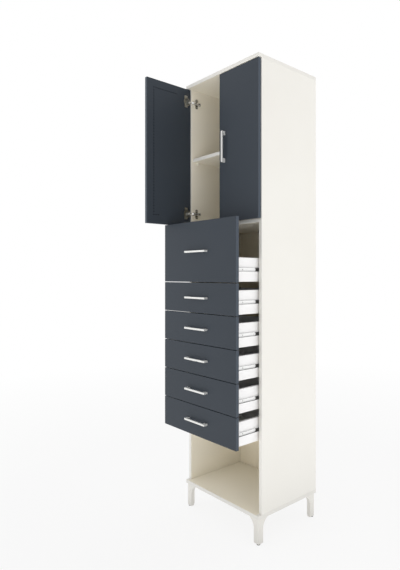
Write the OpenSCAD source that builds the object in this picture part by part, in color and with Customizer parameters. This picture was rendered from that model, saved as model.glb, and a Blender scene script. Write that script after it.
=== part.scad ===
// Chifforobe: a tall narrow cabinet with two doors, six drawers under them and an open niche below,
// standing on four bracket feet. It is drawn with the left door and all six drawers open.
// Millimetres, +Z up, and the fronts face -Y.
// The origin is on the floor, under the middle of the two side panels.

/* [Carcass] */
// Width over the two side panels
cabinet_w = 500; // [440:1:620]
// Depth of a side panel, from front edge to rear edge
side_depth = 360; // [340:1:450]
// Thickness of every carcass board
board_t = 16; // [15:0.5:19]
// Clear height of the open niche under the drawers
niche_h = 300; // [200:1:400]
// Height of one front unit with its gap
unit_h = 134; // [126:1:170]
// Front units that a door covers
door_units = 5; // [4:1:6]
// Front units that the deep top drawer covers
deep_drawer_units = 2; // [1:1:3]
// Thickness of the back panel
back_t = 3; // [2.5:0.5:5]
// Distance of the back panel from the rear edges
back_recess = 27; // [15:1:36]
// Depth of the groove that holds the back panel
back_groove_depth = 7; // [5:0.5:8]
// Top of the loose shelf above the top of the fixed shelf
loose_shelf_rise = 332; // [150:1:400]
// Distance of the loose shelf behind the carcass front
loose_shelf_setback = 10; // [5:1:30]

/* [Base] */
// Height of the feet with their glides
foot_h = 110; // [90:1:150]
// Width of a foot at the floor
foot_w = 28; // [22:1:40]
// Radius of the hollow curve that widens a foot towards the cabinet
foot_curve_r = 47; // [30:1:60]
// Distance of the feet from the edges of the bottom board
foot_inset = 6.5; // [2:0.5:20]
// Height of a glide
glide_h = 4; // [2:0.5:8]
// Radius of a glide
glide_r = 7.5; // [5:0.5:8]

/* [Fronts] */
// Thickness of the doors and the drawer fronts
front_t = 16; // [15:0.5:20]
// Gap between neighbouring fronts
front_gap = 3; // [2:0.5:5]
// Distance of the fronts from the outer faces of the cabinet
front_reveal = 1.5; // [1:0.5:3]
// Gap between the carcass and the back of a closed front
front_standoff = 3; // [2.5:0.5:5]
// Edge radius of a front's outer face
front_edge_r = 1; // [0.5:0.5:3]
// How far the drawers stand open
drawer_pull = 125; // [0:1:150]
// Angle at which the left door stands open
left_door_angle = 90; // [0:5:90]

/* [Drawer boxes] */
// Height of a drawer box
box_h = 99; // [80:1:110]
// Thickness of a box side and of a box back
box_side_t = 12; // [10:0.5:16]
// Height of the box above the lower edge of its front
box_lift = 3; // [1:0.5:8]
// Clear depth behind a closed drawer box
box_rear_gap = 23; // [10:1:40]
// Thickness of the drawer bottom
box_bottom_t = 3; // [2.5:0.5:6]
// Height of the drawer bottom above the lower edge of the box
box_bottom_rise = 10; // [6:1:14]
// Depth of the groove that holds the drawer bottom
box_groove_depth = 6; // [4:0.5:7]

/* [Runners] */
// Gap between a box side and the carcass side
runner_gap = 10; // [9.5:0.5:13]
// Height of a runner's cabinet member
cabinet_runner_h = 27; // [26:1:35]
// Height of a runner's drawer member
drawer_runner_h = 17; // [14:1:18]
// Sheet thickness of both members
runner_steel_t = 1.2; // [1:0.1:1.6]
// Distance of a runner from the two ends of a box side
runner_margin = 5; // [3:1:10]

/* [Handles] */
// Distance between the two screw centres of a handle
handle_spacing = 128; // [96:1:160]
// Distance from a handle's screw centre to the end of the handle
handle_end = 5.5; // [4:0.5:10]
// Width of the handle's bar and feet across the bar
handle_w = 8; // [7:0.5:14]
// Thickness of the handle's bar
handle_bar_t = 6; // [4:0.5:8]
// Length of a handle foot along the bar
handle_foot_l = 18; // [12:0.5:24]
// How far a handle stands out from its front
handle_reach = 20; // [16:0.5:32]
// Outer corner radius of a handle
handle_corner_r = 1.5; // [1:0.5:5]
// Distance of a door handle's centre line from the meeting edge of the doors
handle_edge = 35; // [25:0.5:50]
// Radius of a handle screw
handle_screw_r = 2; // [1.5:0.25:2.5]
// Depth of a handle screw in its front
handle_screw_l = 12; // [8:0.5:13]

/* [Hinges] */
// Radius of a hinge cup's bore in the door
cup_bore_r = 17.5; // [17:0.25:20]
// Depth of a hinge cup's bore
cup_bore_depth = 12; // [11:0.5:13]
// Wall left between the cup's bore and the edge of the door
cup_edge = 3.5; // [3.25:0.25:4]
// Distance of a hinge's centre from the top or bottom edge of its door
hinge_end = 61.5; // [45:0.5:100]
// Distance of the hinge axis from the edge of the door
hinge_axis_edge = 6; // [5.75:0.25:6.25]
// Distance of the hinge axis from the inner face of the door
hinge_axis_depth = 6.5; // [6:0.25:7]
// Height of the flange on the door
flange_h = 57.5; // [50:0.5:64]
// Width of the flange's bar
flange_w = 18; // [14:0.5:22]
// Length of the mounting plate from front to rear
plate_l = 50; // [44:1:60]
// Height of the mounting plate over its wings
plate_h = 46; // [40:1:56]
// Distance of the mounting plate's centre behind the carcass front
plate_back = 32; // [30:0.5:42]

/* [Hidden] */
$fn = 48;

DRAWERS = [1:6];
CARCASS_NODES = [
    "left_side_panel", "right_side_panel", "top_board", "bottom_board", "fixed_shelf",
    "loose_shelf", "shelf_pins", "back_panel", "front_left_foot", "front_right_foot",
    "rear_left_foot", "rear_right_foot", "foot_glides", "joint_dowels", "cabinet_runners",
    "hinge_plates", "hinge_arms", "hinge_pins"
];
DOOR_NODES = [
    "left_door_panel", "left_door_handle", "left_hinge_cups",
    "right_door_panel", "right_door_handle", "right_hinge_cups"
];
DRAWER_PARTS = ["front", "sides", "back", "bottom", "runners", "handle"];

// Colours as they show in daylight
CREAM = [0.93, 0.91, 0.86];
ANTHRACITE = [0.27, 0.29, 0.32];
WHITE = [0.95, 0.95, 0.95];
STEEL = [0.75, 0.75, 0.76];
NICKEL = [0.68, 0.66, 0.62];
BEECH = [0.80, 0.64, 0.44];
GREY = [0.55, 0.55, 0.53];

// How far a cut runs past the face it opens
over = 1;
// Play of a pin or dowel in its hole
pin_play = 0.05;
// Play of a panel in its groove and of a loose piece beside its neighbour
panel_play = 0.25;

// Carcass places
small_drawers = 5;
out_x = cabinet_w / 2;
in_x = out_x - board_t;
side_y0 = -side_depth / 2;
side_y1 = side_depth / 2;
back_y = side_y1 - back_recess - back_t;
niche_z = foot_h + board_t;
fronts_z = niche_z + niche_h;
doors_z = fronts_z + (small_drawers + deep_drawer_units) * unit_h;
lid_z = doors_z + door_units * unit_h;
door_h = door_units * unit_h - front_gap;

// Dowels of the carcass joints
dowel_r = 4;
dowel_l = 30;
dowel_in_board = 10;
dowel_end_play = 0.5;
cap_dowel_shares = [0.12, 0.5, 0.86];
shelf_dowel_shares = [0.2, 0.75];

// Shelf pins
pin_stem_r = 2.5;
pin_stem_l = 9;
pin_head_l = 8;
pin_head_w = 8;
pin_head_h = 11;
pin_line = 37;

// Fronts in their closed place; the top and bottom boards reach as far forward
front_y1 = side_y0 - front_standoff;
front_y0 = front_y1 - front_t;
cap_y0 = front_y0;
front_x = out_x - front_reveal;
door_w = front_x - front_gap / 2;
door_z1 = doors_z + door_h;

// Drawer boxes in their closed place
box_x1 = in_x - runner_gap;
box_x0 = box_x1 - box_side_t;
box_y1 = back_y - box_rear_gap;
bottom_play = 0.5;

// Runners in their closed place
runner_y0 = front_y1 + runner_margin;
runner_y1 = box_y1 - runner_margin;
cabinet_runner_setback = 3;
cabinet_runner_y0 = side_y0 + cabinet_runner_setback;
cabinet_runner_air = 1;
cabinet_runner_lip = runner_gap - cabinet_runner_air;
drawer_runner_lip_share = 0.55;
drawer_runner_lip = runner_gap * drawer_runner_lip_share;
cage_play = 0.3;
cage_l = 60;
cage_start = 5;
cage_w = 3.5;

// Hinge parts, measured from the hinge axis or the cup's centre
cup_wall = 0.8;
cup_play = 0.1;
cup_floor_play = 0.5;
flange_t = 1.2;
flange_offset = 5.5;
rim_w = 1.5;
flange_screw_r = 2;
flange_screw_inset = 5;
arm_half_h = 4.2;
arm_t = 2;
arm_reach = 11.5;
arm_slot_play = 0.4;
arm_slot_l = 6;
cheek_t = 2;
cheek_l = 5;
hinge_pin_r = 0.9;
knuckle_r = 1.7;
plate_t = 2.6;
plate_bar_w = 11;
plate_wing_w = 12;
plate_corner_r = 3;
base_t = 7;
base_half_h = 6.5;
base_ramp = 6;
crank_setback = 1.6;
crank_heel = 1.6;
base_end_inset = 6;

axis_x = -front_x + hinge_axis_edge;
axis_y = front_y1 - hinge_axis_depth;
cup_x = -front_x + cup_edge + cup_bore_r;
hinge_heights = [doors_z + hinge_end, door_z1 - hinge_end];

// Lower edge of a drawer's front, counted from the top drawer down
function drawer_z(n) = fronts_z + (small_drawers + 1 - n) * unit_h;
// Height of a drawer's front
function drawer_front_h(n) = (n == 1 ? deep_drawer_units : 1) * unit_h - front_gap;
// Lower edge of a drawer's box
function box_z(n) = drawer_z(n) + box_lift;
// Middle height of a drawer's runners
function runner_z(n) = box_z(n) + box_h / 2;

// A block between two opposite corners
module block(low, high) {
    translate(low) cube(high - low);
}

// The same thing on both sides of the cabinet
module both_sides() {
    children();
    mirror([1, 0, 0]) children();
}

// A flat outline with round corners, centred on the origin
module round_outline(size, r) {
    square([size.x - 2 * r, size.y], center = true);
    square([size.x, size.y - 2 * r], center = true);
    for (sx = [-1, 1], sy = [-1, 1]) {
        translate([sx * (size.x / 2 - r), sy * (size.y / 2 - r)]) circle(r);
    }
}

// Section of a front whose two outer edges are round: width along X, thickness along Y
module front_section(x0, x1) {
    difference() {
        translate([x0, front_y0]) square([x1 - x0, front_t]);
        for (side = [[x0, 1], [x1, -1]]) {
            translate([side[0], front_y0]) scale([side[1], 1]) edge_waste();
        }
    }
}

// What a round edge takes off a square corner at the origin
module edge_waste() {
    difference() {
        translate([-over, -over]) square(front_edge_r + over);
        translate([front_edge_r, front_edge_r]) circle(front_edge_r);
    }
}

// A closed front with its four outer edges rounded
module front_board(x0, x1, z0, z1) {
    intersection() {
        translate([0, 0, z0]) linear_extrude(z1 - z0) front_section(x0, x1);
        rotate([90, 0, 90]) translate([0, 0, x0]) linear_extrude(x1 - x0) {
            difference() {
                translate([front_y0, z0]) square([front_t, z1 - z0]);
                translate([front_y0, z0]) edge_waste();
                translate([front_y0, z1]) scale([1, -1]) edge_waste();
            }
        }
    }
}

// A handle lying along X with its feet on the plane Y = 0 and its two screws behind it
module bar_handle() {
    length = handle_spacing + 2 * handle_end;
    translate([0, 0, -handle_w / 2]) linear_extrude(handle_w) {
        difference() {
            union() {
                translate([0, -handle_reach / 2]) {
                    round_outline([length, handle_reach], handle_corner_r);
                }
                translate([-length / 2, -handle_reach / 2]) square([length, handle_reach / 2]);
            }
            translate([0, -(handle_reach - handle_bar_t) / 2 + over / 2]) {
                square([length - 2 * handle_foot_l, handle_reach - handle_bar_t + over], center = true);
            }
        }
    }
    for (s = [-1, 1]) {
        translate([s * handle_spacing / 2, -over, 0]) rotate([-90, 0, 0]) {
            cylinder(h = handle_screw_l + over, r = handle_screw_r);
        }
    }
}

// The two holes that a handle's screws need behind a front's outer face
module handle_holes() {
    for (s = [-1, 1]) {
        translate([s * handle_spacing / 2, -over, 0]) rotate([-90, 0, 0]) {
            cylinder(h = handle_screw_l + dowel_end_play + over, r = handle_screw_r + pin_play);
        }
    }
}

// Turns and moves a handle from its own place to the middle of the closed left door
module at_left_door_handle() {
    translate([-front_gap / 2 - handle_edge, front_y0, (doors_z + door_z1) / 2]) {
        rotate([0, 90, 0]) children();
    }
}

// Moves a handle from its own place to the middle of a drawer's closed front
module at_drawer_handle(n) {
    translate([0, front_y0, drawer_z(n) + drawer_front_h(n) / 2]) children();
}

// Carcass

// Upright dowels on the left side, through the joints of a side panel with top and bottom board
module at_cap_dowels() {
    for (share = cap_dowel_shares, z = [niche_z, lid_z]) {
        inward = z == niche_z ? 1 : -1;
        translate([-out_x + board_t / 2, side_y0 + share * side_depth, z]) {
            scale([1, 1, inward]) children();
        }
    }
}

// Level dowels on the left side, through the joint of a side panel with the fixed shelf
module at_shelf_dowels() {
    for (share = shelf_dowel_shares) {
        translate([-in_x, side_y0 + share * side_depth, doors_z - board_t / 2]) {
            rotate([0, 90, 0]) children();
        }
    }
}

// A dowel that lies across the joint plane Z = 0, or with play its hole
module dowel(play) {
    end = play > 0 ? dowel_end_play : 0;
    translate([0, 0, -dowel_in_board - end]) cylinder(h = dowel_l + 2 * end, r = dowel_r + play);
}

// Places of the shelf pins on the left side, at the loose shelf's underside
module at_shelf_pins() {
    for (y = [side_y0 + pin_line, back_y - pin_line]) {
        translate([-in_x, y, doors_z + loose_shelf_rise - board_t]) children();
    }
}

// A shelf pin's stem, or with play its hole
module pin_stem(play) {
    translate([0, 0, -pin_head_h / 2]) rotate([0, -90, 0]) {
        translate([0, 0, -over]) cylinder(h = pin_stem_l + over + 2 * play, r = pin_stem_r + play);
    }
}

// The left side panel with its dowel holes, pin holes and the groove for the back panel
module side_panel() {
    color(CREAM) difference() {
        block([-out_x, side_y0, niche_z], [-in_x, side_y1, lid_z]);
        block(
            [-in_x - back_groove_depth, back_y - panel_play, niche_z - over],
            [-in_x + over, back_y + back_t + panel_play, lid_z + over]
        );
        at_cap_dowels() dowel(pin_play);
        at_shelf_dowels() dowel(pin_play);
        at_shelf_pins() pin_stem(pin_play);
    }
}

module left_side_panel() {
    side_panel();
}

module right_side_panel() {
    mirror([1, 0, 0]) side_panel();
}

// Groove of the back panel in a cap board whose inner face is at z, open towards the compartments
module cap_groove(z, depth) {
    block(
        [-in_x - back_groove_depth, back_y - panel_play, min(z, z + depth)],
        [in_x + back_groove_depth, back_y + back_t + panel_play, max(z, z + depth)]
    );
}

module top_board() {
    color(CREAM) difference() {
        block([-out_x, cap_y0, lid_z], [out_x, side_y1, lid_z + board_t]);
        translate([0, 0, -over]) cap_groove(lid_z, back_groove_depth + over);
        both_sides() at_cap_dowels() dowel(pin_play);
    }
}

module bottom_board() {
    color(CREAM) difference() {
        block([-out_x, cap_y0, foot_h], [out_x, side_y1, niche_z]);
        translate([0, 0, over]) cap_groove(niche_z, -back_groove_depth - over);
        both_sides() at_cap_dowels() dowel(pin_play);
    }
}

module fixed_shelf() {
    color(CREAM) difference() {
        block([-in_x, side_y0, doors_z - board_t], [in_x, back_y, doors_z]);
        both_sides() at_shelf_dowels() dowel(pin_play);
    }
}

module loose_shelf() {
    top = doors_z + loose_shelf_rise;
    color(CREAM) block(
        [-in_x + panel_play, side_y0 + loose_shelf_setback, top - board_t],
        [in_x - panel_play, back_y - panel_play, top]
    );
}

module shelf_pins() {
    color(WHITE) both_sides() at_shelf_pins() {
        pin_stem(0);
        block([0, -pin_head_w / 2, -pin_head_h], [pin_head_l, pin_head_w / 2, 0]);
    }
}

module back_panel() {
    reach = back_groove_depth - panel_play;
    color(CREAM) block(
        [-in_x - reach, back_y, niche_z - reach],
        [in_x + reach, back_y + back_t, lid_z + reach]
    );
}

// Outline of one wing of a foot: X runs in from the corner, Y up from the glide
module foot_outline() {
    height = foot_h - glide_h;
    square([foot_w, height]);
    difference() {
        translate([0, height - foot_curve_r]) square([foot_w + foot_curve_r, foot_curve_r]);
        translate([foot_w + foot_curve_r, height - foot_curve_r]) circle(foot_curve_r);
    }
}

// A bracket foot in the front left corner: two boards joined in an L
module bracket_foot() {
    color(CREAM) translate([-out_x + foot_inset, cap_y0 + foot_inset, glide_h]) {
        translate([0, board_t, 0]) rotate([90, 0, 0]) linear_extrude(board_t) foot_outline();
        rotate([90, 0, 90]) linear_extrude(board_t) foot_outline();
    }
}

// Turns a front foot round the middle of the bottom board's depth, to its rear edge
module to_rear() {
    translate([0, cap_y0 + side_y1, 0]) mirror([0, 1, 0]) children();
}

module front_left_foot() {
    bracket_foot();
}

module front_right_foot() {
    mirror([1, 0, 0]) bracket_foot();
}

module rear_left_foot() {
    to_rear() bracket_foot();
}

module rear_right_foot() {
    mirror([1, 0, 0]) to_rear() bracket_foot();
}

module foot_glides() {
    middle = foot_inset + max(glide_r, board_t / 2);
    color(GREY) both_sides() for (y = [cap_y0 + middle, side_y1 - middle]) {
        translate([-out_x + middle, y, 0]) cylinder(h = glide_h, r = glide_r);
    }
}

module joint_dowels() {
    color(BEECH) both_sides() {
        at_cap_dowels() dowel(0);
        at_shelf_dowels() dowel(0);
    }
}

// Channel section that opens along +X: its web stands on X = 0
module channel_outline(height, lip) {
    difference() {
        translate([0, -height / 2]) square([lip, height]);
        translate([runner_steel_t, -height / 2 + runner_steel_t]) {
            square([lip, height - 2 * runner_steel_t]);
        }
    }
}

// The left runner's cabinet member, with the ball cage that carries the drawer member
module cabinet_runner(n) {
    cage_z = drawer_runner_h / 2 + cage_play;
    lip_z = cabinet_runner_h / 2 - runner_steel_t;
    cage_x = runner_gap - drawer_runner_lip;
    translate([-in_x, 0, runner_z(n)]) {
        translate([0, runner_y1, 0]) rotate([90, 0, 0]) {
            linear_extrude(runner_y1 - cabinet_runner_y0) {
                channel_outline(cabinet_runner_h, cabinet_runner_lip);
            }
        }
        for (s = [-1, 1]) scale([1, 1, s]) block(
            [cage_x, cabinet_runner_y0 + cage_start, cage_z],
            [cage_x + cage_w, cabinet_runner_y0 + cage_start + cage_l, lip_z]
        );
    }
}

module cabinet_runners() {
    color(STEEL) both_sides() for (n = DRAWERS) cabinet_runner(n);
}

// Hinges, drawn for the left door while it is closed

// Puts things at each hinge of the left door, on its axis
module at_hinge_axes() {
    for (z = hinge_heights) translate([axis_x, axis_y, z]) children();
}

// Cruciform mounting plates on the inner faces of the side panels
module hinge_plates() {
    color(NICKEL) both_sides() for (z = hinge_heights) {
        translate([-in_x, side_y0 + plate_back, z]) rotate([90, 0, 90]) linear_extrude(plate_t) {
            round_outline([plate_l, plate_bar_w], plate_corner_r);
            round_outline([plate_wing_w, plate_h], plate_corner_r);
        }
    }
}

// Side view of a hinge arm: X runs into the cabinet and Y to the rear, from the hinge axis
module arm_outline() {
    seat = -in_x + plate_t - axis_x;
    start = side_y0 - axis_y + crank_setback;
    end = side_y0 + plate_back + plate_l / 2 - base_end_inset - axis_y;
    half = arm_t / 2;
    polygon([
        [0, -half],
        [arm_reach, -half],
        [arm_reach, start],
        [seat + base_t, start + base_ramp],
        [seat + base_t, end],
        [seat, end],
        [seat, start + crank_heel],
        [arm_reach - arm_t, start],
        [arm_reach - arm_t, half],
        [0, half]
    ]);
    circle(knuckle_r);
}

// The fixed arms: a crank that reaches into the cup, and a wider base on the mounting plate
module hinge_arms() {
    seat = -in_x + plate_t - axis_x;
    base_y0 = side_y0 - axis_y + crank_setback + crank_heel + base_ramp;
    base_y1 = side_y0 + plate_back + plate_l / 2 - base_end_inset - axis_y;
    color(STEEL) both_sides() at_hinge_axes() difference() {
        union() {
            translate([0, 0, -arm_half_h]) linear_extrude(2 * arm_half_h) arm_outline();
            block([seat, base_y0, -base_half_h], [seat + base_t, base_y1, base_half_h]);
        }
        translate([0, 0, -arm_half_h - over]) {
            cylinder(h = 2 * (arm_half_h + over), r = hinge_pin_r + pin_play);
        }
    }
}

module hinge_pins() {
    half = arm_half_h + arm_slot_play + cheek_t - pin_play;
    color(STEEL) both_sides() at_hinge_axes() {
        translate([0, 0, -half]) cylinder(h = 2 * half, r = hinge_pin_r);
    }
}

// Lays the axis of a hinge cup along +Y from the inner face of the closed left door
module at_cups() {
    for (z = hinge_heights) {
        translate([cup_x, front_y1, z]) rotate([90, 0, 0]) children();
    }
}

// One cup with its flange, opening at Z = 0 and going down along +Z into the door
module hinge_cup() {
    shell_r = cup_bore_r - cup_play;
    shell_depth = cup_bore_depth - cup_floor_play;
    slot_half = arm_half_h + arm_slot_play;
    cheek_x0 = axis_x - cup_x - hinge_pin_r - pin_play;
    difference() {
        union() {
            difference() {
                union() {
                    cylinder(h = shell_depth, r = shell_r);
                    translate([0, 0, -flange_t]) cylinder(h = flange_t, r = cup_bore_r + rim_w);
                    translate([flange_offset, 0, -flange_t]) linear_extrude(flange_t) {
                        round_outline([flange_w, flange_h], plate_corner_r);
                    }
                }
                translate([0, 0, -flange_t - over]) {
                    cylinder(h = shell_depth - cup_wall + flange_t + over, r = shell_r - cup_wall);
                }
            }
            for (s = [-1, 1]) scale([1, s, 1]) {
                block([cheek_x0, slot_half, 0], [cheek_x0 + cheek_l, slot_half + cheek_t, shell_depth]);
            }
        }
        block(
            [-cup_bore_r - rim_w - over, -slot_half, -flange_t - over],
            [-cup_bore_r + arm_slot_l, slot_half, shell_depth - cup_wall]
        );
        translate([axis_x - cup_x, 0, hinge_axis_depth]) rotate([90, 0, 0]) {
            translate([0, 0, -slot_half - cheek_t - over]) {
                cylinder(h = 2 * (slot_half + cheek_t + over), r = hinge_pin_r + pin_play);
            }
        }
        for (s = [-1, 1]) {
            translate([flange_offset, s * (flange_h / 2 - flange_screw_inset), -flange_t - over]) {
                cylinder(h = flange_t + 2 * over, r = flange_screw_r);
            }
        }
    }
}

// Doors, drawn closed on the left and then swung or mirrored to their places

// Swings the left door's pieces from their closed place to where they stand
module left_door_swing() {
    translate([axis_x, axis_y, 0]) rotate([0, 0, -left_door_angle]) {
        translate([-axis_x, -axis_y, 0]) children();
    }
}

module door_panel() {
    color(ANTHRACITE) difference() {
        front_board(-front_x, -front_x + door_w, doors_z, door_z1);
        at_cups() translate([0, 0, -over]) cylinder(h = cup_bore_depth + over, r = cup_bore_r);
        at_left_door_handle() handle_holes();
    }
}

module door_handle() {
    color(STEEL) at_left_door_handle() bar_handle();
}

module hinge_cups() {
    color(NICKEL) at_cups() hinge_cup();
}

module left_door_panel() {
    left_door_swing() door_panel();
}

module left_door_handle() {
    left_door_swing() door_handle();
}

module left_hinge_cups() {
    left_door_swing() hinge_cups();
}

module right_door_panel() {
    mirror([1, 0, 0]) door_panel();
}

module right_door_handle() {
    mirror([1, 0, 0]) door_handle();
}

module right_hinge_cups() {
    mirror([1, 0, 0]) hinge_cups();
}

// Drawers, drawn closed and then pulled to their places

// Pulls a drawer's pieces from their closed place to where they stand
module pulled() {
    translate([0, -drawer_pull, 0]) children();
}

module drawer_front(n) {
    color(ANTHRACITE) pulled() difference() {
        front_board(-front_x, front_x, drawer_z(n), drawer_z(n) + drawer_front_h(n));
        at_drawer_handle(n) handle_holes();
    }
}

module drawer_sides(n) {
    groove_z = box_z(n) + box_bottom_rise;
    color(WHITE) pulled() both_sides() difference() {
        block([-box_x1, front_y1, box_z(n)], [-box_x0, box_y1, box_z(n) + box_h]);
        block(
            [-box_x0 - box_groove_depth, front_y1 - over, groove_z - panel_play],
            [-box_x0 + over, box_y1 + over, groove_z + box_bottom_t + panel_play]
        );
    }
}

module drawer_back(n) {
    color(WHITE) pulled() block(
        [-box_x0, box_y1 - box_side_t, box_z(n) + box_bottom_rise + box_bottom_t],
        [box_x0, box_y1, box_z(n) + box_h]
    );
}

module drawer_bottom(n) {
    reach = box_groove_depth - bottom_play;
    low = box_z(n) + box_bottom_rise;
    color(WHITE) pulled() block(
        [-box_x0 - reach, front_y1, low],
        [box_x0 + reach, box_y1, low + box_bottom_t]
    );
}

module drawer_runners(n) {
    color(STEEL) pulled() both_sides() translate([-box_x1, runner_y1, runner_z(n)]) {
        rotate([90, 0, 0]) linear_extrude(runner_y1 - runner_y0) {
            mirror([1, 0]) channel_outline(drawer_runner_h, drawer_runner_lip);
        }
    }
}

module drawer_handle(n) {
    color(STEEL) pulled() at_drawer_handle(n) bar_handle();
}

left_side_panel();
right_side_panel();
top_board();
bottom_board();
fixed_shelf();
loose_shelf();
shelf_pins();
back_panel();
front_left_foot();
front_right_foot();
rear_left_foot();
rear_right_foot();
foot_glides();
joint_dowels();
cabinet_runners();
hinge_plates();
hinge_arms();
hinge_pins();
left_door_panel();
left_door_handle();
left_hinge_cups();
right_door_panel();
right_door_handle();
right_hinge_cups();
for (n = DRAWERS) {
    drawer_front(n);
    drawer_sides(n);
    drawer_back(n);
    drawer_bottom(n);
    drawer_runners(n);
    drawer_handle(n);
}
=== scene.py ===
"""Dresses a tall chifforobe: a cupboard with two doors over six drawers and an open niche, on bracket feet.

The cabinet stands on Z = 0 with its fronts towards -Y. Every size is in metres. Places are read from the
loaded frame, so that each piece sits on what carries it.
"""

import logging
import math
from collections.abc import Callable, Sequence
from dataclasses import dataclass, field
from enum import Enum
from itertools import product
from typing import Any

import bmesh
import bpy
from bpy.types import Material, Mesh, Node, NodeSocket, NodeTree, Object
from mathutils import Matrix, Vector


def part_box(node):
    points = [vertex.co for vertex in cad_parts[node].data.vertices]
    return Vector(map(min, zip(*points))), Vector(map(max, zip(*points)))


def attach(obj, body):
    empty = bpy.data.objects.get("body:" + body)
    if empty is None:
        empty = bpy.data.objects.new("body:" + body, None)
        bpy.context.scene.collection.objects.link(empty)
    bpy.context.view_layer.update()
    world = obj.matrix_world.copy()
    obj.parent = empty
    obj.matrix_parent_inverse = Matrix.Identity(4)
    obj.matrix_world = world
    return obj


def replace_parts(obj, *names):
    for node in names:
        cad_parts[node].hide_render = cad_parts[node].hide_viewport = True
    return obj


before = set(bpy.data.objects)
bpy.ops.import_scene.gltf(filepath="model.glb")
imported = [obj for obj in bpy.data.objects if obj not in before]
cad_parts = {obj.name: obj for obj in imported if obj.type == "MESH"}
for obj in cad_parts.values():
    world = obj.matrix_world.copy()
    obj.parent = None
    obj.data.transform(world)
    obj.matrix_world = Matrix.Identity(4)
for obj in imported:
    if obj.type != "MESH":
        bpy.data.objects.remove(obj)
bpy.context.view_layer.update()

LOG = logging.getLogger("chifforobe")
MM = 0.001
DRAWERS = range(1, 7)
BOTH_WAYS = (-1, 1)
RUNNER_STEEL = 1.2 * MM
SHORTEST_EASED = 3.0 * MM
ORIGIN = (0.0, 0.0, 0.0)
WHITE = (1.0, 1.0, 1.0, 1.0)
UNIT = (0.0, 1.0)
FALLING = (1.0, 0.0)
Span = tuple[float, float]
Triple = tuple[float, float, float]
Spot = tuple[Vector, Vector]


class Slot(Enum):
    """Material slots of the record, passed along with the new pieces."""

    CREAM = "cream_board"
    ANTHRACITE = "anthracite_board"
    WHITE = "white_board"
    HANDLE = "handle_steel"
    HINGE = "hinge_nickel"
    RUNNER = "runner_steel"
    GREY_PLASTIC = "grey_plastic"


class Axis(Enum):
    """Axes of the cabinet, as unit vectors."""

    X = (1.0, 0.0, 0.0)
    Y = (0.0, 1.0, 0.0)
    Z = (0.0, 0.0, 1.0)

    @property
    def way(self) -> Vector:
        """The axis as a vector."""
        return Vector(self.value)


@dataclass(frozen=True)
class Board:
    """Where a board lies, read from its CAD node, and the axis that it is thin along."""

    low: Vector
    high: Vector
    thin: Axis

    @classmethod
    def of(cls, node: str) -> "Board":
        """Reads a CAD node's place.

        Args:
            node: The node's name.

        Returns:
            The board.
        """
        low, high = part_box(node)
        size = high - low
        return cls(low, high, min(Axis, key=lambda axis: size.dot(axis.way)))

    @property
    def middle(self) -> Vector:
        """The board's middle."""
        return (self.low + self.high) / 2


def rgba(colour: Triple) -> tuple[float, float, float, float]:
    """A colour with full alpha."""
    return (*colour, 1.0)


def shifted(colour: Triple, factor: float, warm: float = 0.0) -> Triple:
    """A colour made lighter or darker, and warmer where warm is above zero."""
    red, green, blue = (min(1.0, channel * factor) for channel in colour)
    return (min(1.0, red * (1 + warm)), green, blue * (1 - warm))


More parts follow.
